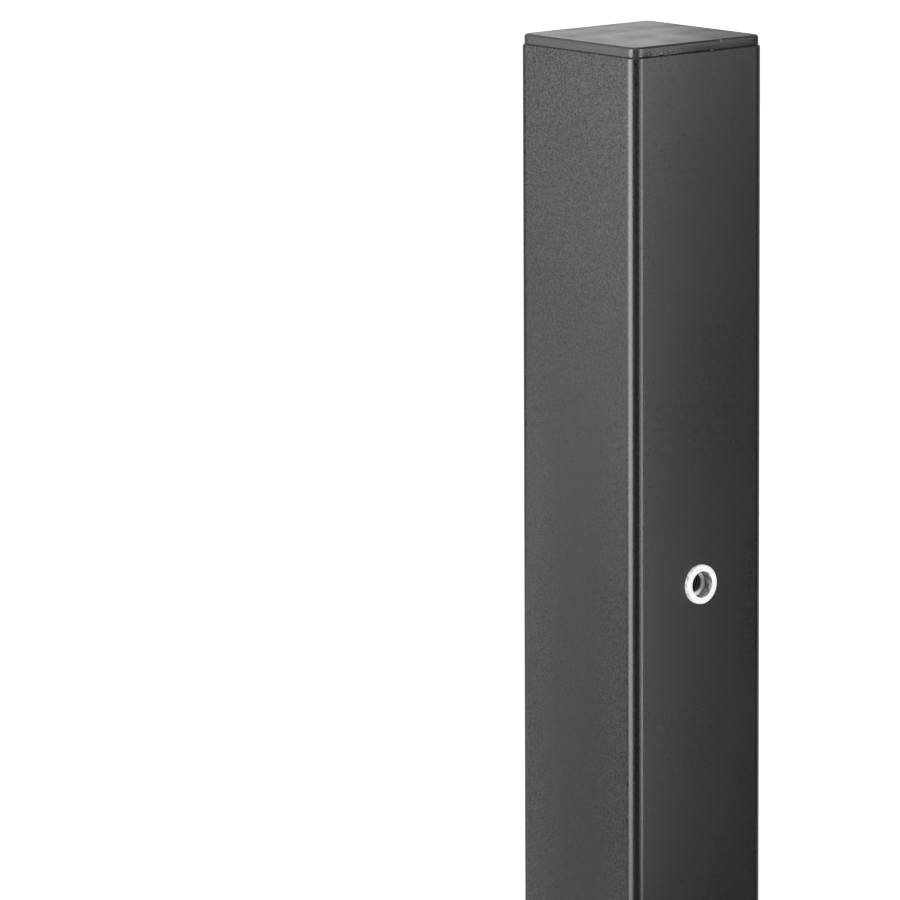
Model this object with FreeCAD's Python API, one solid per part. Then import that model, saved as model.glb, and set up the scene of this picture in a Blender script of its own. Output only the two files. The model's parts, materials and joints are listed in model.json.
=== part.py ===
import FreeCAD, Part
import math
import os

# Square steel fence post with a push-in plastic cap and one set rivet nut.
# All sizes are in millimetres. The origin is the centre of the foot, +Z runs
# up the post, and -Y is the front, the face that carries the nut.

# Tube
post_length = 1500.0
post_width = 60.0
tube_wall = 2.0
bore_corner_radius = 2.0
cut_edge_break = 0.3
seam_bead_width = 2.4
seam_bead_height = 0.5

# Cap head
head_inset = 0.6
head_height = 3.6
head_skin = 2.2
head_edge_radius = 1.2
head_lower_edge_break = 0.3

# Cap stem, which goes into the tube
stem_depth = 18.0
stem_lead_chamfer = 1.2
stem_wall = 1.8
stem_corner_radius = 2.5
hollow_corner_radius = 1.5
rib_thickness = 1.2
rib_depth = 11.0
rib_spacing = 18.6
ribs_each_way = 2

# Fins round the stem
fin_count = 4
fin_reach = 2.4
fin_thickness = 1.0
fin_lead_chamfer = 0.5
first_fin_rise = 2.5
fin_clearance = 0.05

# Rivet nut, from its thread outwards
nut_below_end = 184.0
thread_core_radius = 3.32
thread_length = 9.0
countersink_width = 0.85
countersink_depth = 0.85
nose_land = 0.08
nose_gap = 0.35
nose_setback = 0.1
groove_fall = 0.2
sleeve_wall = 0.9
flange_reach = 1.3
flange_thickness = 1.5
flange_edge_break = 0.3
mouth_edge_break = 0.12
fold_reach = 2.1
body_end_chamfer = 0.5
hole_clearance = 0.05

# Worked out from the sizes above
tube_half = post_width / 2
bore_half = tube_half - tube_wall
tube_corner_radius = bore_corner_radius + tube_wall
nut_height = post_length - nut_below_end
nose_radius = thread_core_radius + countersink_width + nose_land
entry_radius = nose_radius + nose_gap
sleeve_radius = entry_radius + sleeve_wall
flange_radius = sleeve_radius + flange_reach
fold_radius = sleeve_radius + fold_reach
wall_hole_radius = sleeve_radius + hole_clearance

UP = FreeCAD.Vector(0, 0, 1)
SLACK = 1.0  # how far a cutting tool runs past the face that it cuts


def rounded_square(half, radius, z):
    """Closed outline of a square with round corners, level at height z."""
    inner = half - radius
    edges = []
    for quarter in range(4):
        turn = FreeCAD.Rotation(UP, 90 * quarter)
        side = Part.LineSegment(
            turn.multVec(FreeCAD.Vector(half, -inner, 0)),
            turn.multVec(FreeCAD.Vector(half, inner, 0)),
        )
        slant = radius * math.sqrt(0.5)
        corner = Part.Arc(
            turn.multVec(FreeCAD.Vector(half, inner, 0)),
            turn.multVec(FreeCAD.Vector(inner + slant, inner + slant, 0)),
            turn.multVec(FreeCAD.Vector(inner, half, 0)),
        )
        edges += [side.toShape(), corner.toShape()]
    outline = Part.Wire(edges)
    outline.translate(UP * z)
    return outline


def square_bar(half, radius, low, high):
    """Upright bar with that square section, from one height to another."""
    return Part.Face(rounded_square(half, radius, low)).extrude(UP * (high - low))


def cross_bar(width_x, width_y, low, high, x=0.0, y=0.0):
    """Plain upright block about the point x, y."""
    corner = FreeCAD.Vector(x - width_x / 2, y - width_y / 2, low)
    return Part.makeBox(width_x, width_y, high - low, corner)


def level_edges(shape, z, half):
    """Edges at height z that run along a square outline of that half width."""
    found = []
    for edge in shape.Edges:
        box = edge.BoundBox
        level = abs(box.ZMin - z) < 1e-6 and abs(box.ZMax - z) < 1e-6
        reach = max(abs(box.XMin), abs(box.XMax), abs(box.YMin), abs(box.YMax))
        if level and abs(reach - half) < 1e-6:
            found.append(edge)
    return found


def seam_bead(clearance, low, high):
    """Low round ridge on the inside of the rear wall, grown by a clearance."""
    half = seam_bead_width / 2
    sweep_radius = (half**2 + seam_bead_height**2) / (2 * seam_bead_height)
    centre = FreeCAD.Vector(0, bore_half - seam_bead_height + sweep_radius, low)
    rod = Part.makeCylinder(sweep_radius + clearance, high - low, centre, UP)
    reach = 2 * (sweep_radius + clearance)
    inside = cross_bar(reach, 2 * tube_half - tube_wall, low, high)
    return rod.common(inside)


def make_post_tube():
    """Welded square tube, cut square, with the round hole for the nut."""
    outside = square_bar(tube_half, tube_corner_radius, 0, post_length)
    ends = level_edges(outside, 0, tube_half) + level_edges(outside, post_length, tube_half)
    outside = outside.makeChamfer(cut_edge_break, ends)
    bore = square_bar(bore_half, bore_corner_radius, -SLACK, post_length + SLACK)
    tube = outside.cut(bore).fuse(seam_bead(0, 0, post_length))
    hole = Part.makeCylinder(
        wall_hole_radius,
        tube_wall + 2 * SLACK,
        FreeCAD.Vector(0, -tube_half - SLACK, nut_height),
        FreeCAD.Vector(0, 1, 0),
    )
    return tube.cut(hole).removeSplitter()


def make_cap_head():
    """Flat square head that sits on the tube's end, rounded at its edges."""
    half = tube_half - head_inset
    top = post_length + head_height
    head = square_bar(half, tube_corner_radius - head_inset, post_length, top)
    head = head.makeFillet(head_edge_radius, level_edges(head, top, half))
    return head.makeChamfer(head_lower_edge_break, level_edges(head, post_length, half))


def make_plate(half, radius, low, high, chamfer):
    """Level plate with a square outline, chamfered round its lower edge."""
    plate = square_bar(half, radius, low, high)
    return plate.makeChamfer(chamfer, level_edges(plate, low, half))


def make_fins():
    """Thin fins all round the stem, with their lower edges chamfered to lead them in."""
    first = post_length - stem_depth + first_fin_rise
    pitch = (stem_depth - first_fin_rise) / fin_count
    half = bore_half - fin_clearance
    radius = bore_corner_radius - fin_clearance
    fins = []
    for index in range(fin_count):
        low = first + index * pitch
        fins.append(make_plate(half, radius, low, low + fin_thickness, fin_lead_chamfer))
    return fins


def make_end_cap():
    """Moulded cap: head, hollow stem with crossed ribs, and fins."""
    stem_half = bore_half - fin_reach
    hollow_half = stem_half - stem_wall
    hollow_top = post_length + head_height - head_skin
    foot = post_length - stem_depth
    stem = make_plate(stem_half, stem_corner_radius, foot, post_length, stem_lead_chamfer)
    cap = make_cap_head().fuse([stem] + make_fins())
    cap = cap.cut(square_bar(hollow_half, hollow_corner_radius, foot - SLACK, hollow_top))
    ribs = []
    span = 2 * hollow_half + stem_wall
    rib_low = hollow_top - rib_depth
    for index in range(ribs_each_way):
        place = (index - (ribs_each_way - 1) / 2) * rib_spacing
        ribs.append(cross_bar(rib_thickness, span, rib_low, hollow_top, x=place))
        ribs.append(cross_bar(span, rib_thickness, rib_low, hollow_top, y=place))
    cap = cap.fuse(ribs)
    bead_room = seam_bead(fin_clearance, foot, post_length)
    return cap.cut(bead_room).removeSplitter()


def nut_point(radius, depth):
    """Point of the nut's section, at a depth behind the tube's front face."""
    return FreeCAD.Vector(radius, depth - tube_half, nut_height)


def nut_line(start, end):
    return Part.LineSegment(nut_point(*start), nut_point(*end)).toShape()


def nut_arc(start, centre, end):
    """Arc of less than half a turn from start to end about centre."""
    middle_angle = math.atan2(
        start[1] + end[1] - 2 * centre[1],
        start[0] + end[0] - 2 * centre[0],
    )
    radius = math.hypot(start[0] - centre[0], start[1] - centre[1])
    middle = (
        centre[0] + radius * math.cos(middle_angle),
        centre[1] + radius * math.sin(middle_angle),
    )
    return Part.Arc(nut_point(*start), nut_point(*middle), nut_point(*end)).toShape()


def make_rivet_nut():
    """Rivet nut after setting: the sleeve is folded out behind the wall."""
    face = -flange_thickness
    back = tube_wall
    fold_middle = back + sleeve_wall
    fold_back = back + 2 * sleeve_wall
    fold_centre = fold_radius - sleeve_wall
    nose = back + nose_setback
    thread_start = nose + countersink_depth
    body_end = thread_start + thread_length
    crevice = (sleeve_radius, fold_middle)
    groove_floor = fold_middle + groove_fall
    fold_edge = (fold_radius, fold_middle)
    edge = flange_edge_break
    outline = [
        # Flange, from its mouth outwards
        nut_line((entry_radius + mouth_edge_break, face), (flange_radius - edge, face)),
        nut_line((flange_radius - edge, face), (flange_radius, face + edge)),
        nut_line((flange_radius, face + edge), (flange_radius, 0)),
        nut_line((flange_radius, 0), (sleeve_radius, 0)),
        # Sleeve in the wall's hole, then the round fold against the wall's back
        nut_line((sleeve_radius, 0), (sleeve_radius, back)),
        nut_line((sleeve_radius, back), (fold_centre, back)),
        nut_arc((fold_centre, back), (fold_centre, fold_middle), fold_edge),
        nut_arc(fold_edge, (fold_centre, fold_middle), (fold_centre, fold_back)),
        nut_line((fold_centre, fold_back), (sleeve_radius, fold_back)),
        # Threaded body and its far end
        nut_line((sleeve_radius, fold_back), (sleeve_radius, body_end - body_end_chamfer)),
        nut_line(
            (sleeve_radius, body_end - body_end_chamfer),
            (sleeve_radius - body_end_chamfer, body_end),
        ),
        nut_line((sleeve_radius - body_end_chamfer, body_end), (thread_core_radius, body_end)),
        # Thread core, countersink and nose
        nut_line((thread_core_radius, body_end), (thread_core_radius, thread_start)),
        nut_line((thread_core_radius, thread_start), (nose_radius - nose_land, nose)),
        nut_line((nose_radius - nose_land, nose), (nose_radius, nose)),
        # Groove between the nose and the sleeve, where the sleeve turns out
        nut_line((nose_radius, nose), (nose_radius, groove_floor)),
        nut_line((nose_radius, groove_floor), crevice),
        nut_line(crevice, (entry_radius, back)),
        # Entry bore and its mouth
        nut_line((entry_radius, back), (entry_radius, face + mouth_edge_break)),
        nut_line((entry_radius, face + mouth_edge_break), (entry_radius + mouth_edge_break, face)),
    ]
    section = Part.Face(Part.Wire(outline))
    axis_point = FreeCAD.Vector(0, 0, nut_height)
    return section.revolve(axis_point, FreeCAD.Vector(0, 1, 0), 360)


def main():
    os.makedirs("parts", exist_ok=True)
    nodes = {
        "post_tube": make_post_tube(),
        "end_cap": make_end_cap(),
        "rivet_nut": make_rivet_nut(),
    }
    for name, shape in nodes.items():
        solids = len(shape.Solids)
        box = shape.BoundBox
        print(
            f"{name}: valid {shape.isValid()}, solids {solids}, volume {shape.Volume:.1f},"
            f" x {box.XMin:.2f}..{box.XMax:.2f}, y {box.YMin:.2f}..{box.YMax:.2f},"
            f" z {box.ZMin:.2f}..{box.ZMax:.2f}"
        )
        shape.exportStep(f"parts/{name}.step")


main()
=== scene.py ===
import json
import math
import random

import bmesh
import bpy
from mathutils import Matrix, Vector


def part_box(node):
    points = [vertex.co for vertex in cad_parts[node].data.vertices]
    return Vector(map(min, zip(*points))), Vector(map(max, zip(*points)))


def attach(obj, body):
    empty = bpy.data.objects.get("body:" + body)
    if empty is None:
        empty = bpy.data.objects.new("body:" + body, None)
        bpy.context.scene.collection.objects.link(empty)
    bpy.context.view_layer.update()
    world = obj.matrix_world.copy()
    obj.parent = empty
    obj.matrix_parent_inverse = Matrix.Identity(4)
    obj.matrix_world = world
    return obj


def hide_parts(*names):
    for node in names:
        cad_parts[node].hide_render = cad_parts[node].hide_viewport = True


# A square steel fence post: powder-coated tube, moulded plastic cap, set rivet nut.
# Lengths are in metres, as in the frame. Names that end in _MM are in millimetres, and
# those that end in _DEG in degrees. A bearing is an angle in plan: 0 is the front, the
# nut's side, and 90 is the left side. The near corner is the one between those two.

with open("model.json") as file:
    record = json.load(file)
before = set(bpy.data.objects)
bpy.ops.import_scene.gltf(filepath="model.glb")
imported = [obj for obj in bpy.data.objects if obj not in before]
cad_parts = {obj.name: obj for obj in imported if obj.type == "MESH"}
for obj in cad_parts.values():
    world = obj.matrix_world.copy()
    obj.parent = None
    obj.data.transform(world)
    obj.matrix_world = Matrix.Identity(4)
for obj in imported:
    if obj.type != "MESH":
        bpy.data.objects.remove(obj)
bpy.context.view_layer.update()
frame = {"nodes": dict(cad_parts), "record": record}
TUBE_LOW, TUBE_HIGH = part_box("post_tube")
CAP_LOW, CAP_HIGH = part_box("end_cap")
NUT_LOW, NUT_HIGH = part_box("rivet_nut")
MOUNTS = {mount["name"]: mount for mount in frame["record"]["mounts"]}

MM = 0.001
TUBE_END = TUBE_HIGH.z
FRONT = TUBE_LOW.y
HEAD_HALF_MM = CAP_HIGH.x / MM
BORE_HALF_MM = 28.0
BEAD_WIDTH_MM = 2.4
BEAD_HEIGHT_MM = 0.5

# Cap, as the frame has it
HEAD_CORNER_MM = 3.4
TOP_EDGE_RADIUS_MM = 1.0
LOWER_EDGE_RADIUS_MM = 0.3
STEM_HALF_MM = 25.6
STEM_CORNER_MM = 2.5
STEM_CHAMFER_MM = 1.2
HOLLOW_HALF_MM = 23.8
HOLLOW_CORNER_MM = 1.5
HOLLOW_TOP_MM = 1.4
RIB_THICKNESS_MM = 1.2
RIB_DEPTH_MM = 11.0
RIB_PLACE_MM = 9.3
RIB_ROOT_MM = 0.9
FIN_HALF_MM = 27.95
FIN_CORNER_MM = 1.95
FIN_LOWS_MM = (-3.875, -7.75, -11.625, -15.5)
FIN_THICKNESS_MM = 1.0
FIN_CHAMFER_MM = 0.5
SINK_DEPTH_MM = 0.22
SINK_SPREAD_MM = 3.6
RIM_DROP_MM = 0.06
RIM_WIDTH_MM = 0.9

# Wear on the cap's front edges, placed by its distance right of the middle
NICK_PLACE_MM = 10.5
NICK_WIDTH_MM = 0.7
NICK_DEPTH_MM = 0.4
NICK_REACH_MM = 1.6
BURR_PLACE_MM = 5.9
BURR_WIDTH_MM = 0.5
CHIPPED_EDGE_MOST = 1.3  # how much deeper the lower edge's rounding is at its worst chips
CHIP_SEED = 41

# Rivet nut: radii, and depths behind the tube's front face
ENTRY_RADIUS_MM = 4.6
MOUTH_RADIUS_MM = 0.12
FLANGE_EDGE_MM = 0.3
SLEEVE_RADIUS_MM = 5.5
NOSE_RADIUS_MM = 4.25
NOSE_DEPTH_MM = 2.1
COUNTERSINK_MM = 0.85
GROOVE_FLOOR_MM = 3.1
WALL_MM = 2.0
SHEET_MM = 0.9
END_CHAMFER_MM = 0.5
FLANGE_REACH_MM = 1.3
THREAD_CORE_MM = MOUNTS["bracket_thread"]["dims"]["r_mm"]
THREAD_MAJOR_MM = 4.0
THREAD_PITCH_MM = 1.25
THREAD_START_MM = NOSE_DEPTH_MM + COUNTERSINK_MM
THREAD_EXIT_MM = 0.8
THREAD_CREST_MM = THREAD_PITCH_MM / 4
THREAD_ROOT_MM = THREAD_PITCH_MM / 8
NUT_CENTRE_Z = MOUNTS["bracket_thread"]["pos_m"][2]
NUT_FACE_MM = (NUT_LOW.y - FRONT) / MM
NUT_END_MM = (NUT_HIGH.y - FRONT) / MM
NUT_COLUMNS = 96
THREAD_FLANK_STEPS = 4
FOLD_STEPS = 12
BEND_STEPS = 6
FLANGE_EDGE_STEPS = 5
MOUTH_STEPS = 4


# Mesh making

MERGE_DISTANCE = 1e-7
CLEAN_DISTANCE = 1e-6
SHARP_EDGE_DEG = 32.0


def finish_mesh(name, shell):
    """Object from a shell, with its normals outwards and its edges sharp from an angle."""
    bmesh.ops.remove_doubles(shell, verts=shell.verts, dist=MERGE_DISTANCE)
    bmesh.ops.recalc_face_normals(shell, faces=shell.faces)
    mesh = bpy.data.meshes.new(name)
    shell.to_mesh(mesh)
    shell.free()
    mesh.shade_smooth()
    mesh.set_sharp_from_angle(angle=math.radians(SHARP_EDGE_DEG))
    piece = bpy.data.objects.new(name, mesh)
    bpy.context.scene.collection.objects.link(piece)
    return piece


def bridge(shell, ring_a, ring_b):
    """Quads between two closed rings with as many points."""
    count = len(ring_a)
    for i in range(count):
        j = (i + 1) % count
        shell.faces.new((ring_a[i], ring_a[j], ring_b[j], ring_b[i]))


def fan(shell, ring, centre):
    """Triangles from a closed ring to one point."""
    middle = shell.verts.new(centre)
    for i, corner in enumerate(ring):
        shell.faces.new((corner, ring[(i + 1) % len(ring)], middle))


def arc(centre, radius, start_deg, end_deg, steps):
    """Points of an arc in a section plane, ends included."""
    points = []
    for step in range(steps + 1):
        angle = math.radians(start_deg + (end_deg - start_deg) * step / steps)
        points.append((centre[0] + radius * math.cos(angle), centre[1] + radius * math.sin(angle)))
    return points


# End cap

CAP_SIDE_STEPS = 44
CAP_CORNER_STEPS = 8
CAP_SIDE_CROWDING = 1.3  # over 1 crowds a ring's points towards the middle of each side
TOP_EDGE_INSETS_MM = (0.15, 0.3, 0.45, 0.6, 0.75, 0.9, 1.2, 1.6, 2.1)
TOP_RING_SPACING_MM = 0.65
TOP_EDGE_STEPS = 8
LOWER_EDGE_STEPS = 4
FRONT_SIDE_SLACK_MM = 0.1
FRONT_SIDE_MM = -(HEAD_HALF_MM - LOWER_EDGE_RADIUS_MM - FRONT_SIDE_SLACK_MM)


def square_ring(half, radius):
    """Plan points in millimetres of a square with round corners, counter-clockwise."""
    inner = half - radius
    points = []
    for quarter in range(4):
        turn = Matrix.Rotation(math.radians(90 * quarter), 2)
        for step in range(CAP_SIDE_STEPS):
            share = 2 * step / CAP_SIDE_STEPS - 1
            along = math.copysign(abs(share) ** CAP_SIDE_CROWDING, share)
            points.append(turn @ Vector((half, inner * along)))
        corner = arc((inner, inner), radius, 0, 90, CAP_CORNER_STEPS)
        points += [turn @ Vector(point) for point in corner[:-1]]
    return points


def clear_of_bead(point):
    """Plan point, moved in where the tube's inner weld bead passes the fins."""
    sweep = ((BEAD_WIDTH_MM / 2) ** 2 + BEAD_HEIGHT_MM**2) / (2 * BEAD_HEIGHT_MM)
    room = sweep + (BORE_HALF_MM - FIN_HALF_MM)
    if abs(point.x) >= room:
        return point
    centre = BORE_HALF_MM - BEAD_HEIGHT_MM + sweep
    return Vector((point.x, min(point.y, centre - math.sqrt(room**2 - point.x**2))))


def ease(share):
    """Smooth step from 0 to 1."""
    share = min(1.0, max(0.0, share))
    return share * share * (3 - 2 * share)


def top_drop(x, y):
    """How far the top lies below its rim: the rim's step, the sinks over the ribs, the nick."""
    inset = HEAD_HALF_MM - TOP_EDGE_RADIUS_MM - max(abs(x), abs(y))
    sinks = 0.0
    for along in (x, y):
        for place in (-RIB_PLACE_MM, RIB_PLACE_MM):
            sinks += math.exp(-(((along - place) / SINK_SPREAD_MM) ** 2) / 2)
    rim = RIM_DROP_MM * ease(inset / RIM_WIDTH_MM)
    return rim + SINK_DEPTH_MM * sinks * ease(inset / SINK_SPREAD_MM) + nick_depth(x, y)


def nick_depth(x, y):
    """Depth of the small nick in the top's front edge."""
    from_edge = HEAD_HALF_MM + y
    across = math.exp(-(((x - NICK_PLACE_MM) / NICK_WIDTH_MM) ** 2))
    return NICK_DEPTH_MM * across * ease(1 - from_edge / NICK_REACH_MM)


def chipped_edge(count):
    """How much higher than drawn the cap's lower edge is at each point of a ring."""
    chance = random.Random(CHIP_SEED)
    return [1 + CHIPPED_EDGE_MOST * chance.random() ** 2 for _ in range(count)]


def burr_at(x, y):
    """Share by which a burr closes the gap under the head's front side."""
    if y >= FRONT_SIDE_MM:
        return 0.0
    return math.exp(-(((x - BURR_PLACE_MM) / BURR_WIDTH_MM) ** 2))


def worn_height(x, y, half, z, chip):
    """Height of a point of the cap's outside, with the nick, the chips and the burr in it."""
    if z > HOLLOW_TOP_MM:
        return z - nick_depth(x, y)
    if 0 < z <= LOWER_EDGE_RADIUS_MM and half > STEM_HALF_MM:
        return z * chip * (1 - burr_at(x, y))
    return z


def cap_rings():
    """(half width, corner radius, height over the tube's end) down the outside and up inside."""
    head_top = (CAP_HIGH.z - TUBE_END) / MM
    foot = (CAP_LOW.z - TUBE_END) / MM
    top_centre = (HEAD_HALF_MM - TOP_EDGE_RADIUS_MM, head_top - TOP_EDGE_RADIUS_MM)
    lower_centre = (HEAD_HALF_MM - LOWER_EDGE_RADIUS_MM, LOWER_EDGE_RADIUS_MM)
    edges = arc(top_centre, TOP_EDGE_RADIUS_MM, 90, 0, TOP_EDGE_STEPS)
    edges += arc(lower_centre, LOWER_EDGE_RADIUS_MM, 0, -90, LOWER_EDGE_STEPS)
    rings = [(half, HEAD_CORNER_MM - (HEAD_HALF_MM - half), z) for half, z in edges]
    rings.append((STEM_HALF_MM, STEM_CORNER_MM, 0.0))
    for low in FIN_LOWS_MM:
        fin_top = low + FIN_THICKNESS_MM
        chamfered = FIN_HALF_MM - FIN_CHAMFER_MM
        rings += [
            (STEM_HALF_MM, STEM_CORNER_MM, fin_top),
            (FIN_HALF_MM, FIN_CORNER_MM, fin_top),
            (FIN_HALF_MM, FIN_CORNER_MM, low + FIN_CHAMFER_MM),
            (chamfered, FIN_CORNER_MM - FIN_CHAMFER_MM, low),
            (STEM_HALF_MM, STEM_CORNER_MM, low),
        ]
    rings += [
        (STEM_HALF_MM, STEM_CORNER_MM, foot + STEM_CHAMFER_MM),
        (STEM_HALF_MM - STEM_CHAMFER_MM, STEM_CORNER_MM - STEM_CHAMFER_MM, foot),
        (HOLLOW_HALF_MM, HOLLOW_CORNER_MM, foot),
        (HOLLOW_HALF_MM, HOLLOW_CORNER_MM, HOLLOW_TOP_MM),
    ]
    return rings


def cap_loops(shell):
    """Closed loops of points down the cap's outside and up inside its stem."""
    loops = []
    chips = chipped_edge(4 * (CAP_SIDE_STEPS + CAP_CORNER_STEPS))
    for half, radius, z in cap_rings():
        loop = []
        for point, chip in zip(square_ring(half, radius), chips):
            plan = clear_of_bead(point) if z < 0 else point
            height = worn_height(plan.x, plan.y, half, z, chip)
            loop.append(shell.verts.new((plan.x * MM, plan.y * MM, TUBE_END + height * MM)))
        loops.append(loop)
    return loops


def close_top(shell, rim_loop):
    """Fills the top inside its rim, with rings close enough to show its relief."""
    rim = [vert.co.xy for vert in rim_loop]
    rim_half = HEAD_HALF_MM - TOP_EDGE_RADIUS_MM
    insets = list(TOP_EDGE_INSETS_MM)
    while insets[-1] + 2 * TOP_RING_SPACING_MM < rim_half:
        insets.append(insets[-1] + TOP_RING_SPACING_MM)
    outer = rim_loop
    for inset in insets:
        loop = []
        for point in rim:
            plan = point * (1 - inset / rim_half)
            drop = top_drop(plan.x / MM, plan.y / MM) * MM
            loop.append(shell.verts.new((plan.x, plan.y, CAP_HIGH.z - drop)))
        bridge(shell, outer, loop)
        outer = loop
    fan(shell, outer, (0, 0, CAP_HIGH.z - top_drop(0, 0) * MM))


def cap_shell():
    """Head, fins and hollow stem as one closed skin."""
    shell = bmesh.new()
    loops = cap_loops(shell)
    for upper, lower in zip(loops, loops[1:]):
        bridge(shell, upper, lower)
    fan(shell, loops[-1], (0, 0, TUBE_END + HOLLOW_TOP_MM * MM))
    close_top(shell, loops[0])
    return finish_mesh("cap_moulding", shell)


def rib_lattice():
    """Crossed ribs under the head, as one closed solid that reaches into the stem's walls."""
    reach = HOLLOW_HALF_MM + RIB_ROOT_MM
    near = RIB_PLACE_MM - RIB_THICKNESS_MM / 2
    far = RIB_PLACE_MM + RIB_THICKNESS_MM / 2
    lines = (-reach, -far, -near, near, far, reach)
    cells = range(len(lines) - 1)
    solid = {(i, j) for i in cells for j in cells if i % 2 or j % 2}
    high = TUBE_END + (HOLLOW_TOP_MM + RIB_ROOT_MM) * MM
    low = TUBE_END + (HOLLOW_TOP_MM - RIB_DEPTH_MM) * MM
    shell = bmesh.new()

    def wall(*corners):
        shell.faces.new([shell.verts.new((x * MM, y * MM, z)) for x, y, z in corners])

    for i, j in solid:
        x0, x1, y0, y1 = lines[i], lines[i + 1], lines[j], lines[j + 1]
        for z in (low, high):
            wall((x0, y0, z), (x1, y0, z), (x1, y1, z), (x0, y1, z))
        borders = {
            (i - 1, j): ((x0, y0), (x0, y1)),
            (i + 1, j): ((x1, y0), (x1, y1)),
            (i, j - 1): ((x0, y0), (x1, y0)),
            (i, j + 1): ((x0, y1), (x1, y1)),
        }
        for neighbour, ((xa, ya), (xb, yb)) in borders.items():
            if neighbour not in solid:
                wall((xa, ya, low), (xb, yb, low), (xb, yb, high), (xa, ya, high))
    return finish_mesh("cap_ribs", shell)


def clean_mesh(mesh):
    """Merges points that coincide, and drops faces of no area."""
    shell = bmesh.new()
    shell.from_mesh(mesh)
    bmesh.ops.remove_doubles(shell, verts=shell.verts, dist=CLEAN_DISTANCE)
    bmesh.ops.dissolve_degenerate(shell, edges=shell.edges, dist=CLEAN_DISTANCE)
    shell.to_mesh(mesh)
    shell.free()


def join_solids(piece, other):
    """Makes piece the union of two closed solids, and deletes the other one."""
    union = piece.modifiers.new("ribs", "BOOLEAN")
    union.operation = "UNION"
    union.solver = "EXACT"
    union.object = other
    depsgraph = bpy.context.evaluated_depsgraph_get()
    joined = bpy.data.meshes.new_from_object(piece.evaluated_get(depsgraph))
    clean_mesh(joined)
    piece.modifiers.clear()
    piece.data = joined
    bpy.data.objects.remove(other)


def make_cap():
    """Cap with its ribs, in place of the frame's own."""
    cap = cap_shell()
    join_solids(cap, rib_lattice())
    cap.data.materials.clear()
    cap.data.materials.append(plastic_material())
    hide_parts("end_cap")
    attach(cap, "root")


# Rivet nut


def nut_section():
    """(radius, depth) round the nut's section, from the thread's far end out to its nose."""
    flange = SLEEVE_RADIUS_MM + FLANGE_REACH_MM
    flange_edge = (flange - FLANGE_EDGE_MM, NUT_FACE_MM + FLANGE_EDGE_MM)
    fold_centre = (NUT_HIGH.x / MM - SHEET_MM, WALL_MM + SHEET_MM)
    mouth = (ENTRY_RADIUS_MM + MOUTH_RADIUS_MM, NUT_FACE_MM + MOUTH_RADIUS_MM)
    section = [(THREAD_CORE_MM + THREAD_EXIT_MM, NUT_END_MM)]
    section += [(SLEEVE_RADIUS_MM - END_CHAMFER_MM, NUT_END_MM)]
    section += [(SLEEVE_RADIUS_MM, NUT_END_MM - END_CHAMFER_MM)]
    section += [(SLEEVE_RADIUS_MM, WALL_MM + 2 * SHEET_MM)]
    section += arc(fold_centre, SHEET_MM, 90, -90, FOLD_STEPS)
    section += [(SLEEVE_RADIUS_MM, WALL_MM), (SLEEVE_RADIUS_MM, 0.0), (flange, 0.0)]
    section += arc(flange_edge, FLANGE_EDGE_MM, 0, -90, FLANGE_EDGE_STEPS)
    section += arc(mouth, MOUTH_RADIUS_MM, -90, -180, MOUTH_STEPS)
    section += arc((SLEEVE_RADIUS_MM, WALL_MM), SHEET_MM, 180, 90, BEND_STEPS)
    section += [(NOSE_RADIUS_MM, GROOVE_FLOOR_MM), (NOSE_RADIUS_MM, NOSE_DEPTH_MM)]
    section += [(THREAD_CORE_MM + COUNTERSINK_MM, NOSE_DEPTH_MM)]
    return section


def thread_turn():
    """(distance along the axis, radius) over one pitch of the internal thread, crest first."""
    flank = (THREAD_PITCH_MM - THREAD_CREST_MM - THREAD_ROOT_MM) / 2
    height = THREAD_MAJOR_MM - THREAD_CORE_MM
    shares = [step / THREAD_FLANK_STEPS for step in range(THREAD_FLANK_STEPS)]
    turn = [(0.0, THREAD_CORE_MM), (THREAD_CREST_MM / 2, THREAD_CORE_MM)]
    turn += [(THREAD_CREST_MM + flank * share, THREAD_CORE_MM + height * share) for share in shares]
    root = THREAD_CREST_MM + flank
    turn += [(root, THREAD_MAJOR_MM), (root + THREAD_ROOT_MM / 2, THREAD_MAJOR_MM)]
    back = root + THREAD_ROOT_MM
    turn += [(back + flank * share, THREAD_MAJOR_MM - height * share) for share in shares]
    return turn


def nut_vertex(shell, column, radius, depth):
    """Point of the nut at one of its columns round the axis."""
    angle = 2 * math.pi * column / NUT_COLUMNS
    x = radius * MM * math.cos(angle)
    z = NUT_CENTRE_Z + radius * MM * math.sin(angle)
    return shell.verts.new((x, FRONT + depth * MM, z))


def add_thread(shell):
    """Right-hand thread from the countersink to the far end, as a grid that follows the helix."""
    turn = thread_turn()
    turns = math.ceil((NUT_END_MM - NOSE_DEPTH_MM) / THREAD_PITCH_MM) + 1
    rows = turns * len(turn) + 1

    def vertex(row, column):
        along, radius = turn[row % len(turn)]
        raw = along + THREAD_PITCH_MM * (row // len(turn) - (column + 1) / NUT_COLUMNS)
        depth = min(max(NOSE_DEPTH_MM + raw, NOSE_DEPTH_MM), NUT_END_MM)
        entry = THREAD_CORE_MM + THREAD_START_MM - depth
        lead_in = THREAD_CORE_MM + max(0.0, depth - THREAD_START_MM)
        leave = THREAD_CORE_MM + THREAD_EXIT_MM - (NUT_END_MM - depth)
        return nut_vertex(shell, column, max(min(radius, lead_in), entry, leave), depth)

    grid = [[vertex(row, column) for row in range(rows)] for column in range(NUT_COLUMNS)]
    for column in range(NUT_COLUMNS):
        closing = column == NUT_COLUMNS - 1
        shift = len(turn) if closing else 0
        here, beside = grid[column], grid[0 if closing else column + 1]
        for row in range(shift, rows - 1):
            a, b = beside[row - shift], beside[row + 1 - shift]
            shell.faces.new((here[row], here[row + 1], b, a))


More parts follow.
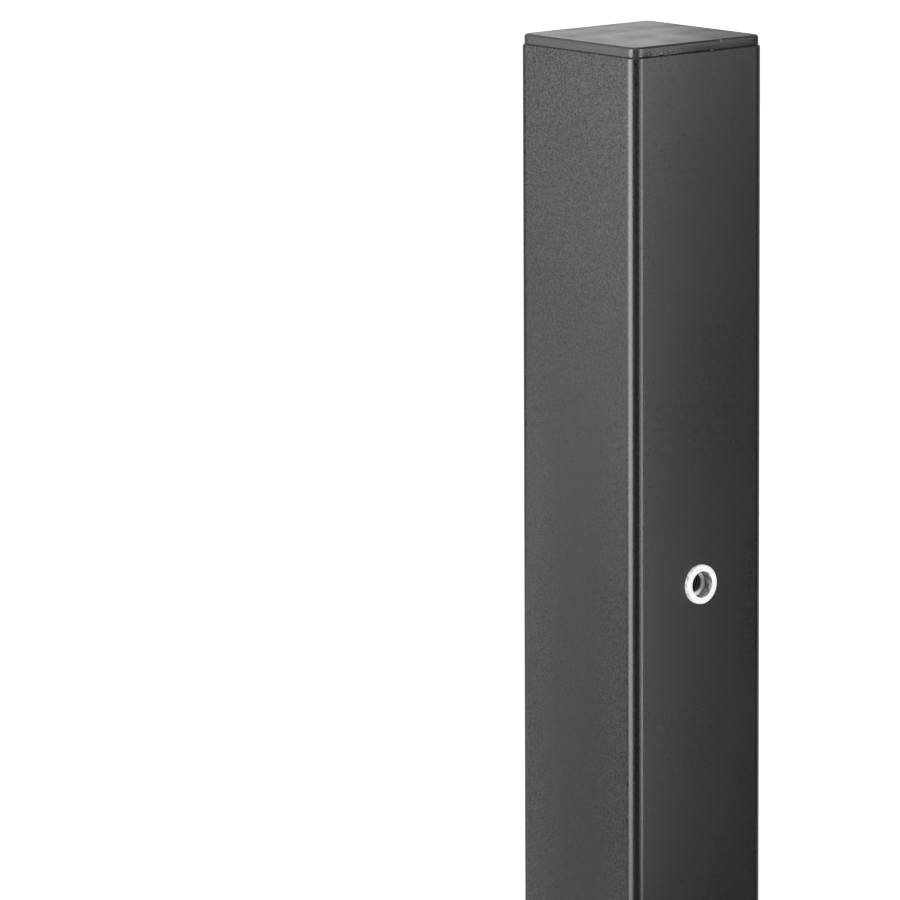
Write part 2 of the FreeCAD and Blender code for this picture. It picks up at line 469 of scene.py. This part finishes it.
def make_nut():
    """Turned nut with its helical thread, in place of the frame's own."""
    shell = bmesh.new()
    loops = []
    for radius, depth in nut_section():
        loops.append([nut_vertex(shell, column, radius, depth) for column in range(NUT_COLUMNS)])
    for one, other in zip(loops, loops[1:]):
        bridge(shell, one, other)
    add_thread(shell)
    nut = finish_mesh("nut_turned", shell)
    nut.data.materials.append(zinc_material())
    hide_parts("rivet_nut")
    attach(nut, "root")


# Materials

# Colours: a darker and a lighter one, which a noise mixes
COAT = ((0.0049, 0.0050, 0.0051), (0.0057, 0.0058, 0.0060))
BARE_STEEL = ((0.24, 0.25, 0.26), (0.42, 0.43, 0.45))
WELD_HEAT = ((0.10, 0.085, 0.075), (0.20, 0.18, 0.17))
CAP_PLAIN = ((0.023, 0.023, 0.0234), (0.029, 0.029, 0.0294))
# Painted light on the cap's left side, and painted shade on its front side
CAP_LEFT_PAINTED_LIGHT = ((0.034, 0.034, 0.0345), (0.042, 0.042, 0.0426))
CAP_FRONT_PAINTED_SHADE = ((0.012, 0.012, 0.0122), (0.016, 0.016, 0.0163))
SCUFFED = ((0.09, 0.09, 0.09), (0.17, 0.17, 0.17))
ZINC = ((0.80, 0.81, 0.82), (0.88, 0.89, 0.90))
# Painted shade on the flange's front face
FLANGE_FACE_PAINTED_SHADE = ((0.71, 0.715, 0.72), (0.77, 0.775, 0.78))
# Painted shade on the bore's wall, in streaks
BORE_PAINTED_SHADE = ((0.24, 0.24, 0.24), (0.72, 0.72, 0.72))
RIM_DARK_PATCHES = ((0.25, 0.25, 0.25), (0.45, 0.45, 0.45))
# Painted shade in the thread, lighter on its crests
THREAD_PAINTED_SHADE = ((0.45, 0.45, 0.45), (0.08, 0.08, 0.08))  # from its crest to its root

# Roughness, where a noise is low and where it is high
COAT_ROUGHNESS = (0.275, 0.295)
COAT_CLOUD_ROUGHNESS = (-0.005, 0.005)
STEEL_ROUGHNESS = (0.38, 0.55)
CAP_ROUGHNESS = (0.22, 0.29)
CAP_TOP_ROUGHER = (0.06, 0.22)  # more towards the right corner
ZINC_ROUGHNESS = (0.74, 0.84)
COAT_IOR = 1.55
PLASTIC_IOR = 1.5

# The part of a noise's range that a pattern uses
MOST = (0.3, 0.7)
CLOUDY = (0.35, 0.65)
STRONG_PART = (0.38, 0.66)
SPECKS = (0.46, 0.58)
STREAKS = (0.4, 0.62)

# Sizes of the patterns, and heights of their relief
GRAIN_MM = 0.52
GRAIN_DIRECTION = (0.57735, 0.57735, 0.57735)
GRAIN_DRAWN_OUT = 0.45
GRAIN_RELIEF_MM = 0.004
COAT_CLOUD_MM = 45.0
SPANGLE_MM = 6.0
SKIN_MM = 0.5
SKIN_RELIEF_MM = 0.02
CAP_CLOUD_MM = 9.0
SPECK_MM = 0.6
PLATE_MM = 0.8
PLATE_RELIEF_MM = 0.004
TOOL_MARK_MM = 0.12
TOOL_MARK_RELIEF_MM = 0.003
STREAK_MM = 2.2

# The coat's grain, painted as shade in its pits and highlights on its crests: its darkest and
# lightest times the coat's colour, and where it is strong
FAINT_GRAIN_AND_SHADE = (0.45, 1.55)
STRONG_GRAIN_AND_SHADE = (0.05, 8.5)
PEEL_SHADE_NEAR_END_MM = (-160.0, -10.0)
PEEL_SHADE_LEFT_FACE_MM = (-29.9, -29.4)
PEEL_SHADE_EDGES_MM = (8.0, 22.0)  # off the middle of the left face
PEEL_SHADE_EDGES = (0.12, 0.45)
PEEL_SHADE_CORNER_MM = (-28.0, -4.0)  # along the front face, from its left edge on
PEEL_SHADE_CORNER = (0.3, 0.0)

# Bands in which one look gives way to another, from a line or a face of the part
COAT_BAND_MM = (0.3, 0.5)
WELD_WALL_MM = (26.0, 27.0)
WELD_HEAT_MM = (1.2, 6.0)
SCUFF_START_MM = (-23.5, -19.5)
SCUFF_STOP_MM = (-13.0, -4.5)
SCUFF_HEIGHT_MM = (1.1, 2.7)
SCUFF_SKIN_MM = (0.1, 0.4)
SPOT_MM = (0.3, 0.7)
NICK_SPOT_MM = (0.2, -0.6)  # behind the head's front side, and from its top
SIDE_SKIN_MM = (0.2, 0.6)
TOP_SKIN_MM = (-1.0, -0.3)
RIGHT_CORNER_DIRECTION = (0.7637, -0.6456, 0.0)
RIGHT_CORNER_MM = (6.0, 30.0)
CONE_BAND_MM = (0.0, 0.1)
GROOVE_BAND_MM = (0.05, 0.15)
BORE_BAND_MM = (0.02, 0.06)
RIM_BAND_MM = (1.2, 1.28)
FACE_BAND_MM = (0.03, 0.12)
CREST_BAND_MM = (0.0, 0.3)
RIM_PATCH_SHARE = (0.0, 0.35, 0.6, 0.0)  # most where there are no streaks


class Nodes:
    """A material's node tree, with short calls to add and link nodes."""

    def __init__(self, name):
        self.material = bpy.data.materials.new(name)
        self.material.use_nodes = True
        self.tree = self.material.node_tree
        self.tree.nodes.clear()

    def add(self, kind, inputs=None, output=0, **settings):
        """Adds a node. Inputs maps its sockets to values or to other nodes' outputs."""
        node = self.tree.nodes.new("ShaderNode" + kind)
        for key, value in settings.items():
            setattr(node, key, value)
        for socket, value in (inputs or {}).items():
            if isinstance(value, bpy.types.NodeSocket):
                self.tree.links.new(value, node.inputs[socket])
            else:
                node.inputs[socket].default_value = value
        return node.outputs[output]

    def place(self):
        """Point of the surface, in metres in the post's frame."""
        return self.add("TexCoord", output="Object")

    def axes(self, place):
        """x, y and z of a point."""
        return self.add("SeparateXYZ", {0: place}).node.outputs

    def math(self, operation, first, second=0.0):
        """Number from one or two numbers."""
        return self.add("Math", {0: first, 1: second}, operation=operation)

    def product(self, first, *others):
        """Numbers multiplied with each other."""
        for other in others:
            first = self.math("MULTIPLY", first, other)
        return first

    def vector(self, operation, first, second):
        """Vector from two vectors."""
        return self.add("VectorMath", {0: first, 1: second}, operation=operation)

    def measure(self, operation, first, second=(0.0, 0.0, 0.0)):
        """Number from one or two vectors, such as a length or a distance."""
        return self.add("VectorMath", {0: first, 1: second}, output="Value", operation=operation)

    def scaled(self, vector, factor):
        """Colour or other vector times a number."""
        return self.add("VectorMath", {0: vector, "Scale": factor}, operation="SCALE")

    def noise(self, place, size_mm, detail=2.0, roughness=0.5):
        """Noise about 0.5, whose grains are about that many millimetres across."""
        inputs = {"Vector": place, "Scale": 1 / (size_mm * MM)}
        return self.add("TexNoise", {**inputs, "Detail": detail, "Roughness": roughness})

    def ramp(self, value, low, high, to_low=0.0, to_high=1.0):
        """Maps low..high to other values, clamped."""
        inputs = {"Value": value, "From Min": low, "From Max": high}
        return self.add("MapRange", {**inputs, "To Min": to_low, "To Max": to_high})

    def across(self, value, start, band_mm, to_low, to_high):
        """Ramp across a band, whose two ends lie so many millimetres from a start."""
        low, high = (start + end * MM for end in band_mm)
        return self.ramp(value, low, high, to_low, to_high)

    def rise(self, value, start, band_mm):
        """0 before a band and 1 past it."""
        return self.across(value, start, band_mm, 0.0, 1.0)

    def fade(self, value, start, band_mm):
        """1 before a band and 0 past it."""
        return self.across(value, start, band_mm, 1.0, 0.0)

    def mix(self, share, dark, light):
        """Colour between two greys or tints."""
        return self.blend(share, (*dark, 1.0), (*light, 1.0))

    def blend(self, share, one, other):
        """Colour between two colours. Sockets 6 and 7 are the mixing node's colours."""
        inputs = {"Factor": share, 6: one, 7: other}
        return self.add("Mix", inputs, output=2, data_type="RGBA")

    def bump(self, height, depth_mm, normal=None):
        """Normal that shows a relief so many millimetres deep, over another relief's normal."""
        inputs = {"Height": height, "Distance": depth_mm * MM, "Strength": 1.0}
        if normal is not None:
            inputs["Normal"] = normal
        return self.add("Bump", inputs)

    def finish(self, surface):
        """Links the surface to the material's output, and gives the material."""
        node = self.tree.nodes.new("ShaderNodeOutputMaterial")
        self.tree.links.new(surface, node.inputs["Surface"])
        return self.material


def coat_grain(nodes, place):
    """Orange peel, drawn out along a slanting direction."""
    along = nodes.measure("DOT_PRODUCT", place, GRAIN_DIRECTION)
    squeeze = nodes.scaled(GRAIN_DIRECTION, nodes.product(along, -GRAIN_DRAWN_OUT))
    drawn = nodes.vector("ADD", place, squeeze)
    return nodes.noise(drawn, GRAIN_MM, detail=1.0, roughness=0.6)


def peel_shade_mask(nodes, x, y, z):
    """Where the grain's painted shade and highlights are strong: on the left face by its edges, and
    near the tube's end.
    """
    near_end = nodes.rise(z, TUBE_END, PEEL_SHADE_NEAR_END_MM)
    on_left = nodes.fade(x, 0.0, PEEL_SHADE_LEFT_FACE_MM)
    by_edges = nodes.across(nodes.math("ABSOLUTE", y), 0.0, PEEL_SHADE_EDGES_MM, *PEEL_SHADE_EDGES)
    left = nodes.product(nodes.math("MAXIMUM", near_end, by_edges), on_left)
    by_corner = nodes.across(x, 0.0, PEEL_SHADE_CORNER_MM, *PEEL_SHADE_CORNER)
    return nodes.math("MAXIMUM", left, nodes.product(near_end, by_corner))


def coat_colour(nodes, peel, cloud, peel_shade):
    """Coat whose grain is faint or strong, with painted shade in the peel's pits and painted
    highlights on its crests.
    """
    body = nodes.mix(cloud, *COAT)
    faint, strong = (
        nodes.blend(nodes.ramp(peel, *part), nodes.scaled(body, dark), nodes.scaled(body, light))
        for part, (dark, light) in ((MOST, FAINT_GRAIN_AND_SHADE), (STRONG_PART, STRONG_GRAIN_AND_SHADE))
    )
    return nodes.blend(peel_shade, faint, strong)


def steel_colour(nodes, spangle, x, y):
    """Bare galvanised steel, discoloured by the heat beside the weld."""
    beside_weld = nodes.fade(nodes.math("ABSOLUTE", x), 0.0, WELD_HEAT_MM)
    heat = nodes.product(beside_weld, nodes.rise(y, 0.0, WELD_WALL_MM))
    return nodes.blend(heat, nodes.mix(spangle, *BARE_STEEL), nodes.mix(spangle, *WELD_HEAT))


def coat_material():
    """Fine-textured powder coat outside, bare galvanised steel with its weld inside."""
    nodes = Nodes("powder_coat")
    place = nodes.place()
    x, y, z = nodes.axes(place)
    off_axis = nodes.math("MAXIMUM", nodes.math("ABSOLUTE", x), nodes.math("ABSOLUTE", y))
    outside = nodes.rise(off_axis, BORE_HALF_MM * MM, COAT_BAND_MM)
    peel = coat_grain(nodes, place)
    cloud = nodes.noise(place, COAT_CLOUD_MM, detail=3.0)
    # The coat's colour carries painted shade and painted highlights of its grain
    coat = coat_colour(nodes, peel, cloud, peel_shade_mask(nodes, x, y, z))
    spangle = nodes.noise(place, SPANGLE_MM, detail=4.0, roughness=0.65)
    steel = steel_colour(nodes, spangle, x, y)
    cloud_gloss = nodes.ramp(cloud, *CLOUDY, *COAT_CLOUD_ROUGHNESS)
    gloss = nodes.math("ADD", cloud_gloss, nodes.ramp(peel, *MOST, *COAT_ROUGHNESS))
    bare_gloss = nodes.ramp(spangle, *MOST, *STEEL_ROUGHNESS)
    surface = nodes.add(
        "BsdfPrincipled",
        {
            "Base Color": nodes.blend(outside, steel, coat),
            "Metallic": nodes.math("SUBTRACT", 1.0, outside),
            "Roughness": nodes.add("Mix", {"Factor": outside, 2: bare_gloss, 3: gloss}),
            "IOR": COAT_IOR,
            "Normal": nodes.bump(peel, GRAIN_RELIEF_MM),
        },
    )
    return nodes.finish(surface)


def spot_mask(nodes, place, centre):
    """Small round spot about a point."""
    return nodes.fade(nodes.measure("DISTANCE", place, centre), 0.0, SPOT_MM)


def scuff_mask(nodes, place):
    """Rubbed specks low on the head's front side, by the near corner, and the nick and burr."""
    x, y, z = nodes.axes(place)
    specks = nodes.ramp(nodes.noise(place, SPECK_MM, detail=3.0, roughness=0.7), *SPECKS)
    on_front = nodes.fade(y, CAP_LOW.y, SCUFF_SKIN_MM)
    start = nodes.rise(x, 0.0, SCUFF_START_MM)
    stop = nodes.fade(x, 0.0, SCUFF_STOP_MM)
    low = nodes.fade(z, TUBE_END, SCUFF_HEIGHT_MM)
    patches = nodes.product(start, stop, low, on_front, specks)
    nick_in, nick_up = (reach * MM for reach in NICK_SPOT_MM)
    nick = spot_mask(nodes, place, (NICK_PLACE_MM * MM, CAP_LOW.y + nick_in, CAP_HIGH.z + nick_up))
    burr = spot_mask(nodes, place, (BURR_PLACE_MM * MM, CAP_LOW.y, TUBE_END))
    return nodes.math("MAXIMUM", patches, nodes.math("MAXIMUM", nick, burr))


def plastic_material():
    """Satin moulded plastic, with painted light on its left side and painted shade on its front
    side.
    """
    nodes = Nodes("cap_plastic_satin")
    place = nodes.place()
    x, y, z = nodes.axes(place)
    skin = nodes.noise(place, SKIN_MM)
    cloud = nodes.noise(place, CAP_CLOUD_MM, detail=3.0, roughness=0.6)
    on_left = nodes.fade(x, CAP_LOW.x, SIDE_SKIN_MM)
    on_front = nodes.fade(y, CAP_LOW.y, SIDE_SKIN_MM)
    colour = nodes.mix(cloud, *CAP_PLAIN)
    # Painted light on the left side, then painted shade on the front side
    colour = nodes.blend(on_left, colour, nodes.mix(cloud, *CAP_LEFT_PAINTED_LIGHT))
    colour = nodes.blend(on_front, colour, nodes.mix(cloud, *CAP_FRONT_PAINTED_SHADE))
    colour = nodes.blend(scuff_mask(nodes, place), colour, nodes.mix(cloud, *SCUFFED))
    to_corner = nodes.measure("DOT_PRODUCT", place, RIGHT_CORNER_DIRECTION)
    by_corner = nodes.across(to_corner, 0.0, RIGHT_CORNER_MM, *CAP_TOP_ROUGHER)
    matter = nodes.product(by_corner, nodes.rise(z, CAP_HIGH.z, TOP_SKIN_MM))
    gloss = nodes.ramp(cloud, *MOST, *CAP_ROUGHNESS)
    surface = nodes.add(
        "BsdfPrincipled",
        {
            "Base Color": colour,
            "Roughness": nodes.math("ADD", gloss, matter),
            "IOR": PLASTIC_IOR,
            "Normal": nodes.bump(skin, SKIN_RELIEF_MM),
        },
    )
    return nodes.finish(surface)


def thread_mask(nodes, radius, depth):
    """The thread and its countersink, where the thread's painted shade goes: past the countersink's
    cone, and not in the groove.
    """
    cone = (THREAD_CORE_MM + THREAD_START_MM) * MM
    past_cone = nodes.rise(nodes.math("ADD", radius, depth), cone, CONE_BAND_MM)
    return nodes.product(past_cone, nodes.fade(radius, THREAD_MAJOR_MM * MM, GROOVE_BAND_MM))


def bore_mask(nodes, radius):
    """The entry bore's wall and the bend of the sleeve behind it."""
    past_nose = nodes.rise(radius, NOSE_RADIUS_MM * MM, BORE_BAND_MM)
    return nodes.product(past_nose, nodes.fade(radius, ENTRY_RADIUS_MM * MM, BORE_BAND_MM))


def zinc_material():
    """Bright zinc plate on turned steel, with rings of fine tool marks about the nut's axis, and
    painted shade on the flange's face, in the bore and in the thread.
    """
    nodes = Nodes("zinc_plate")
    place = nodes.place()
    local = nodes.vector("SUBTRACT", place, (0.0, 0.0, NUT_CENTRE_Z))
    radius = nodes.measure("LENGTH", nodes.vector("MULTIPLY", local, (1.0, 0.0, 1.0)))
    along = nodes.axes(local)[1]
    depth = nodes.math("SUBTRACT", along, FRONT)
    section = nodes.add("CombineXYZ", {0: radius, 1: along, 2: 0.0})
    marks = nodes.noise(section, TOOL_MARK_MM, detail=1.0)
    plate = nodes.noise(place, PLATE_MM, detail=3.0, roughness=0.6)
    streaks = nodes.ramp(nodes.noise(place, STREAK_MM, detail=3.0, roughness=0.6), *STREAKS)

    colour = nodes.mix(plate, *ZINC)
    # Painted shade darkens the bore's wall, in streaks
    colour = nodes.blend(bore_mask(nodes, radius), colour, nodes.mix(streaks, *BORE_PAINTED_SHADE))
    # The flange's edge band is darker in patches, where there are no streaks
    on_rim = nodes.rise(radius, SLEEVE_RADIUS_MM * MM, RIM_BAND_MM)
    patches = nodes.product(on_rim, nodes.ramp(streaks, *RIM_PATCH_SHARE))
    colour = nodes.blend(patches, colour, nodes.mix(plate, *RIM_DARK_PATCHES))
    # Painted shade: the flange's front face gets a darker zinc than the rest
    face_shade = nodes.fade(depth, NUT_FACE_MM * MM, FACE_BAND_MM)
    colour = nodes.blend(face_shade, colour, nodes.mix(plate, *FLANGE_FACE_PAINTED_SHADE))
    off_crest = nodes.rise(radius, THREAD_CORE_MM * MM, CREST_BAND_MM)
    # Painted shade in the thread: dark in its roots, lighter on its crests
    thread = nodes.mix(off_crest, *THREAD_PAINTED_SHADE)
    colour = nodes.blend(thread_mask(nodes, radius, depth), colour, thread)
    tool_marks = nodes.bump(marks, TOOL_MARK_RELIEF_MM)
    surface = nodes.add(
        "BsdfPrincipled",
        {
            "Base Color": colour,
            "Metallic": 1.0,
            "Roughness": nodes.ramp(plate, *MOST, *ZINC_ROUGHNESS),
            "Normal": nodes.bump(plate, PLATE_RELIEF_MM, tool_marks),
        },
    )
    return nodes.finish(surface)


def dress_tube():
    """Gives the tube's own solid its material."""
    tube = frame["nodes"]["post_tube"]
    tube.data.materials.clear()
    tube.data.materials.append(coat_material())


# Stage, light and camera

CAMERA_BEARING_DEG = 40.229
CAMERA_ELEVATION_DEG = 9.706
CAMERA_ROLL_DEG = -0.263
CAMERA_DISTANCE = 2.7662
CAMERA_LENS = 320.0
CAMERA_SEES_TO = 100.0
AIM_RIGHT = -0.06622  # how far right of the post's axis the camera aims, across the view
AIM_BELOW_END = 0.14079

WHITE = (1.0, 1.0, 1.0, 1.0)
PAPER = (0.8, 0.8, 0.8, 1.0)
ROOM_LIGHT = 0.05
FLOOR_HALF = 30.0
FLOOR_DROP = 0.0002
FLOOR_GLOW_NEAR = 0.55
FLOOR_WHITE = (1.0, 3.5)  # distances from the post between which the floor turns white
FLOOR_MIRRORED = 1.1
FLOOR_MIRRORED_TO = (1.8, 3.2)
BACKDROP_DISTANCE = 5.0
BACKDROP_WIDTH = 7.0
BACKDROP_HEIGHT = 4.0
BACKDROP_MIRRORED_FROM = (1.3, 1.7)  # heights over the foot

# Upright lamps: name, bearing in degrees, distance, width, lower and upper end, radiance
SOFTBOXES = (
    ("left_softbox", 88, 1.2, 0.9, 0.9, 2.4, 6.8),
    ("left_upper_softbox", 87, 1.15, 0.8, 1.24, 2.4, 2.2),
    ("rear_left_panel", 126, 0.9, 0.5, 1.2, 2.0, 1.85),
    ("rear_low_panel", 146, 0.6, 0.2, 0.8, 1.27, 1.4),
    ("front_strip", -8.5, 0.9, 0.23, 1.0, 1.9, 3.0),
    ("right_panel", -22.5, 0.35, 0.075, 1.13, 1.9, 7.0),
    ("rear_high_panel", 170, 1.5, 1.2, 2.2, 3.4, 0.8),
    ("right_high_panel", -78, 1.5, 1.2, 2.2, 3.4, 0.5),
    ("back_softbox", 222, 1.5, 0.8, 0.0, 1.5, 2.0),
    ("right_softbox", -90, 1.6, 0.8, 0.0, 1.6, 0.9),
    ("rear_softbox", 184, 1.6, 0.5, 0.0, 1.55, 0.8),
    ("right_upper_panel", -32, 0.65, 0.2, 1.42, 1.9, 2.4),
    ("front_high_panel", 40, 1.6, 1.2, 2.2, 3.4, 0.8),
)
OVERHEAD_WIDTH = 1.2
OVERHEAD_HEIGHT = 3.2
OVERHEAD_RADIANCE = 1.3


def toward(bearing_deg, elevation_deg=0.0):
    """Unit vector from the post towards a bearing and an elevation."""
    bearing, elevation = math.radians(bearing_deg), math.radians(elevation_deg)
    level = math.cos(elevation)
    return Vector((-math.sin(bearing) * level, -math.cos(bearing) * level, math.sin(elevation)))


def one_sided(nodes, surface):
    """Seen from its back, the surface isn't there, so that the post shows from every side."""
    behind = nodes.add("NewGeometry", output="Backfacing")
    clear = nodes.add("BsdfTransparent")
    return nodes.add("MixShader", {0: behind, 1: surface, 2: clear})


def ray_kinds(nodes):
    """Whether the surface is seen by the camera itself, and whether it is seen mirrored."""
    kinds = nodes.add("LightPath").node.outputs
    return kinds["Is Camera Ray"], kinds["Is Glossy Ray"]


def glow_over_paper(nodes, strength):
    """White paper that also shines for the camera and in reflections, by that strength."""
    paper = nodes.add("BsdfDiffuse", {"Color": PAPER})
    shine = nodes.add("Emission", {"Color": WHITE, "Strength": strength})
    return nodes.add("AddShader", {0: paper, 1: shine})


def floor_material():
    """Pale floor. It keeps the post's shadow near the foot and is white further out."""
    nodes = Nodes("floor_paper")
    from_post = nodes.measure("LENGTH", nodes.place())
    seen = nodes.ramp(from_post, *FLOOR_WHITE, FLOOR_GLOW_NEAR, 1.0)
    mirrored = nodes.ramp(from_post, *FLOOR_MIRRORED_TO, FLOOR_MIRRORED, 0.0)
    camera, glossy = ray_kinds(nodes)
    strength = nodes.math("ADD", nodes.product(camera, seen), nodes.product(glossy, mirrored))
    return nodes.finish(one_sided(nodes, glow_over_paper(nodes, strength)))


def backdrop_material():
    """White backdrop, whose upper part alone shows in reflections."""
    nodes = Nodes("backdrop_paper")
    camera, glossy = ray_kinds(nodes)
    height = nodes.axes(nodes.place())[2]
    high_up = nodes.ramp(height, *BACKDROP_MIRRORED_FROM)
    strength = nodes.math("MAXIMUM", camera, nodes.product(glossy, high_up))
    return nodes.finish(one_sided(nodes, glow_over_paper(nodes, strength)))


def make_sheet(name, corners, material):
    """Flat sheet with four corners, in order round it."""
    mesh = bpy.data.meshes.new(name)
    mesh.from_pydata(corners, [], [(0, 1, 2, 3)])
    mesh.materials.append(material)
    sheet = bpy.data.objects.new(name, mesh)
    bpy.context.scene.collection.objects.link(sheet)
    return sheet


def make_stage():
    """Floor under the post, and a backdrop behind it as the camera sees it."""
    z = TUBE_LOW.z - FLOOR_DROP
    plan = ((-1, -1), (1, -1), (1, 1), (-1, 1))
    floor_corners = [(x * FLOOR_HALF, y * FLOOR_HALF, z) for x, y in plan]
    floor = make_sheet("floor", floor_corners, floor_material())
    middle = toward(CAMERA_BEARING_DEG + 180) * BACKDROP_DISTANCE
    side = toward(CAMERA_BEARING_DEG + 90) * BACKDROP_WIDTH / 2
    up = Vector((0, 0, BACKDROP_HEIGHT))
    corners = [middle + side, middle - side, middle - side + up, middle + side + up]
    backdrop = make_sheet("backdrop", corners, backdrop_material())


def make_world():
    """Faint even light in the room, white where the camera looks past the stage."""
    world = bpy.data.worlds.new("studio")
    bpy.context.scene.world = world
    world.use_nodes = True
    tree = world.node_tree
    tree.nodes.clear()
    path = tree.nodes.new("ShaderNodeLightPath")
    strength = tree.nodes.new("ShaderNodeMapRange")
    strength.inputs["To Min"].default_value = ROOM_LIGHT
    strength.inputs["To Max"].default_value = 1.0
    background = tree.nodes.new("ShaderNodeBackground")
    background.inputs["Color"].default_value = WHITE
    output = tree.nodes.new("ShaderNodeOutputWorld")
    tree.links.new(path.outputs["Is Camera Ray"], strength.inputs["Value"])
    tree.links.new(strength.outputs[0], background.inputs["Strength"])
    tree.links.new(background.outputs[0], output.inputs["Surface"])


def add_lamp(name, place, facing, width, height, radiance):
    """Flat lamp of a given brightness, which shines away from the way it faces."""
    lamp = bpy.data.lights.new(name, "AREA")
    lamp.shape = "RECTANGLE"
    lamp.size = width
    lamp.size_y = height
    lamp.energy = radiance * math.pi * width * height
    holder = bpy.data.objects.new(name, lamp)
    holder.location = place
    holder.rotation_euler = facing.to_track_quat("Z", "Y").to_euler()
    holder.visible_camera = False
    bpy.context.scene.collection.objects.link(holder)


def make_lights():
    """Upright lamps round the post, and one over it."""
    for name, bearing_deg, distance, width, low, high, radiance in SOFTBOXES:
        away = toward(bearing_deg)
        place = away * distance + Vector((0, 0, (low + high) / 2))
        add_lamp(name, place, away, width, high - low, radiance)
    up = Vector((0, 0, 1))
    place = up * OVERHEAD_HEIGHT
    add_lamp("overhead_softbox", place, up, OVERHEAD_WIDTH, OVERHEAD_WIDTH, OVERHEAD_RADIANCE)


def make_camera():
    """Camera at the bearing and elevation, with the view's roll about its own axis."""
    scene = bpy.context.scene
    back = toward(CAMERA_BEARING_DEG, CAMERA_ELEVATION_DEG)
    across = toward(CAMERA_BEARING_DEG - 90)
    over = back.cross(across)
    roll = Matrix.Rotation(math.radians(CAMERA_ROLL_DEG), 3, back)
    target = across * AIM_RIGHT + Vector((0, 0, TUBE_END - AIM_BELOW_END))
    turn = Matrix((roll @ across, roll @ over, back)).transposed()
    data = bpy.data.cameras.new("camera")
    data.lens = CAMERA_LENS
    data.clip_end = CAMERA_SEES_TO
    camera = bpy.data.objects.new("camera", data)
    camera.matrix_world = Matrix.Translation(target + back * CAMERA_DISTANCE) @ turn.to_4x4()
    scene.collection.objects.link(camera)
    scene.camera = camera


make_camera()
make_world()
make_stage()
make_lights()
dress_tube()
make_cap()
make_nut()
bpy.context.scene.view_settings.view_transform = "Standard"
